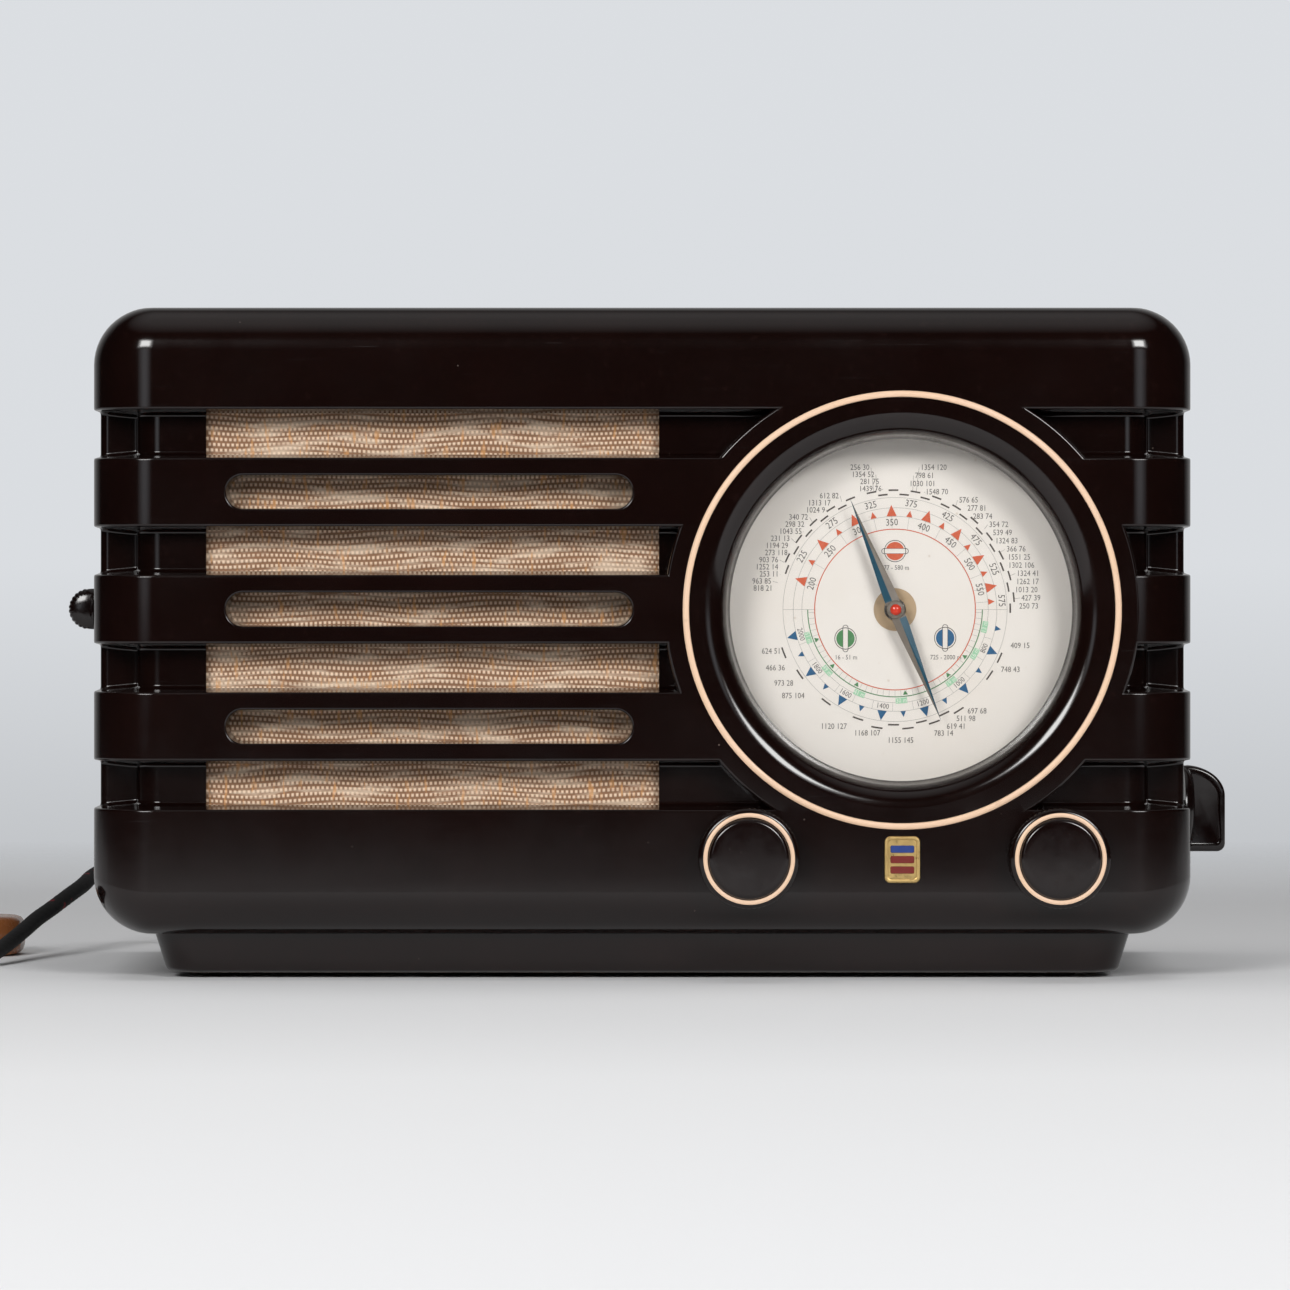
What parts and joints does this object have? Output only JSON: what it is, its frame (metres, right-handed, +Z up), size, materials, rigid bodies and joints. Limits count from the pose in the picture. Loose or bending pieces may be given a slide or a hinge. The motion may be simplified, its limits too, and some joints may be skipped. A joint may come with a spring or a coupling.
{
  "type": "table radio",
  "caption": "Rounded bakelite table radio with slotted speaker bars at the left, a round dial at the right, two front knobs and a control on each side.",
  "frame": {"origin": "bottom centre of the radio's bounding box, knobs included and mains cord left out, on the surface it stands on", "axes": "+Z up, +X to the right seen from the front, -Y towards the listener"},
  "size_m": [0.5454, 0.2756, 0.2398],
  "materials": {
    "cabinet": "polished dark brown bakelite",
    "dial_trim_ring": "cream plastic, satin",
    "front_badge": "aged brass",
    "grille_cloth": "woven tan speaker cloth",
    "baffle_board": "hardboard",
    "speaker_basket": "black enamel",
    "speaker_cone": "pressed paper",
    "speaker_magnet": "plated steel",
    "dial_glass": "clear flat glass",
    "glass_retaining_ring": "spring steel",
    "dial_scale": "ivory enamel with printed scales",
    "dial_bracket": "zinc plated sheet",
    "dial_pointer": "teal and silver facets",
    "pointer_hub_cap": "red, polished",
    "tuning_drum": "spun aluminium",
    "capacitor_rotor": "bright aluminium plates",
    "capacitor_frame": "cast frame",
    "capacitor_stator": "bright aluminium plates",
    "dial_drive_cord": "waxed cord",
    "volume_knob": "polished dark brown bakelite",
    "volume_knob_ring": "cream plastic, satin",
    "volume_shaft": "turned steel",
    "volume_control": "pressed can",
    "tuning_knob": "polished dark brown bakelite",
    "tuning_knob_ring": "cream plastic, satin",
    "tuning_shaft": "turned steel",
    "band_switch_knob": "polished dark brown bakelite",
    "band_switch_shaft": "turned steel",
    "band_switch_body": "laminated phenolic wafers",
    "tone_lever": "polished dark brown bakelite",
    "tone_switch_body": "laminated phenolic",
    "chassis_tray": "cadmium plated sheet",
    "mains_transformer": "black lacquered laminations",
    "output_transformer": "steel laminations",
    "smoothing_capacitor": "drawn can",
    "rectifier_valve": "glass bulb",
    "output_valve": "glass bulb",
    "detector_valve": "glass bulb",
    "mixer_valve": "glass bulb",
    "first_intermediate_can": "drawn can",
    "second_intermediate_can": "drawn can",
    "left_dial_lamp": "small lamp",
    "right_dial_lamp": "small lamp",
    "rear_cover": "brown pressed fibreboard",
    "aerial_socket_plate": "phenolic sheet",
    "bottom_cover": "brown pressed fibreboard",
    "mains_cord": "black braided cotton with red flecks",
    "cord_coil": "black braided cotton with red flecks",
    "cord_strain_relief": "black rubber",
    "mains_plug": "mottled brown bakelite",
    "rear_cover_screw_1": "brass round head",
    "rubber_foot_1": "dark rubber",
    "rear_cover_screw_2": "brass round head",
    "rubber_foot_2": "dark rubber",
    "rear_cover_screw_3": "brass round head",
    "rubber_foot_3": "dark rubber",
    "rear_cover_screw_4": "brass round head",
    "rubber_foot_4": "dark rubber"
  },
  "bodies": {
    "radio": {"cabinet": "cabinet", "dial_trim_ring": "dial_trim_ring", "front_badge": "front_badge", "grille_cloth": "grille_cloth", "baffle_board": "baffle_board", "speaker_basket": "speaker_basket", "speaker_cone": "speaker_cone", "speaker_magnet": "speaker_magnet", "dial_glass": "dial_glass", "glass_retaining_ring": "glass_retaining_ring", "dial_scale": "dial_scale", "dial_bracket": "dial_bracket", "capacitor_frame": "capacitor_frame", "capacitor_stator": "capacitor_stator", "dial_drive_cord": "dial_drive_cord", "volume_control": "volume_control", "band_switch_body": "band_switch_body", "tone_switch_body": "tone_switch_body", "chassis_tray": "chassis_tray", "mains_transformer": "mains_transformer", "output_transformer": "output_transformer", "smoothing_capacitor": "smoothing_capacitor", "rectifier_valve": "rectifier_valve", "output_valve": "output_valve", "detector_valve": "detector_valve", "mixer_valve": "mixer_valve", "first_intermediate_can": "first_intermediate_can", "second_intermediate_can": "second_intermediate_can", "left_dial_lamp": "left_dial_lamp", "right_dial_lamp": "right_dial_lamp", "rear_cover": "rear_cover", "aerial_socket_plate": "aerial_socket_plate", "bottom_cover": "bottom_cover", "mains_cord": "mains_cord", "cord_coil": "cord_coil", "cord_strain_relief": "cord_strain_relief", "mains_plug": "mains_plug", "rear_cover_screw_1": "rear_cover_screw_1", "rubber_foot_1": "rubber_foot_1", "rear_cover_screw_2": "rear_cover_screw_2", "rubber_foot_2": "rubber_foot_2", "rear_cover_screw_3": "rear_cover_screw_3", "rubber_foot_3": "rubber_foot_3", "rear_cover_screw_4": "rear_cover_screw_4", "rubber_foot_4": "rubber_foot_4"},
    "volume": {"volume_knob": "volume_knob", "volume_knob_ring": "volume_knob_ring", "volume_shaft": "volume_shaft"},
    "tuning": {"tuning_knob": "tuning_knob", "tuning_knob_ring": "tuning_knob_ring", "tuning_shaft": "tuning_shaft"},
    "dial": {"tuning_drum": "tuning_drum", "capacitor_rotor": "capacitor_rotor", "dial_pointer": "dial_pointer", "pointer_hub_cap": "pointer_hub_cap"},
    "band_switch": {"band_switch_knob": "band_switch_knob", "band_switch_shaft": "band_switch_shaft"},
    "tone": {"tone_lever": "tone_lever"}
  },
  "joints": [
    {"name": "volume_turn", "type": "hinge", "parent": "radio", "child": "volume", "pos_m": [0.03585, -0.0867, 0.044], "axis": [0, 1, 0], "range_deg": [-150, 150]},
    {"name": "dial_turn", "type": "hinge", "parent": "radio", "child": "dial", "pos_m": [0.08885, -0.0647, 0.1318], "axis": [0, 1, 0], "range_deg": [-67, 112]},
    {"name": "tuning_turn", "type": "hinge", "parent": "radio", "child": "tuning", "pos_m": [0.14595, -0.0867, 0.044], "axis": [0, 1, 0], "range_deg": [-640, 1068]},
    {"name": "band_switch_turn", "type": "hinge", "parent": "radio", "child": "band_switch", "pos_m": [0.19455, -0.0187, 0.059], "axis": [1, 0, 0], "range_deg": [0, 180]},
    {"name": "tone_tilt", "type": "hinge", "parent": "radio", "child": "tone", "pos_m": [-0.16995, -0.0267, 0.1318], "axis": [0, 1, 0], "range_deg": [-10, 10]}
  ],
  "couplings": [
    {"joint": "tuning_turn", "follows": "dial_turn", "ratio": 9.5}
  ]
}
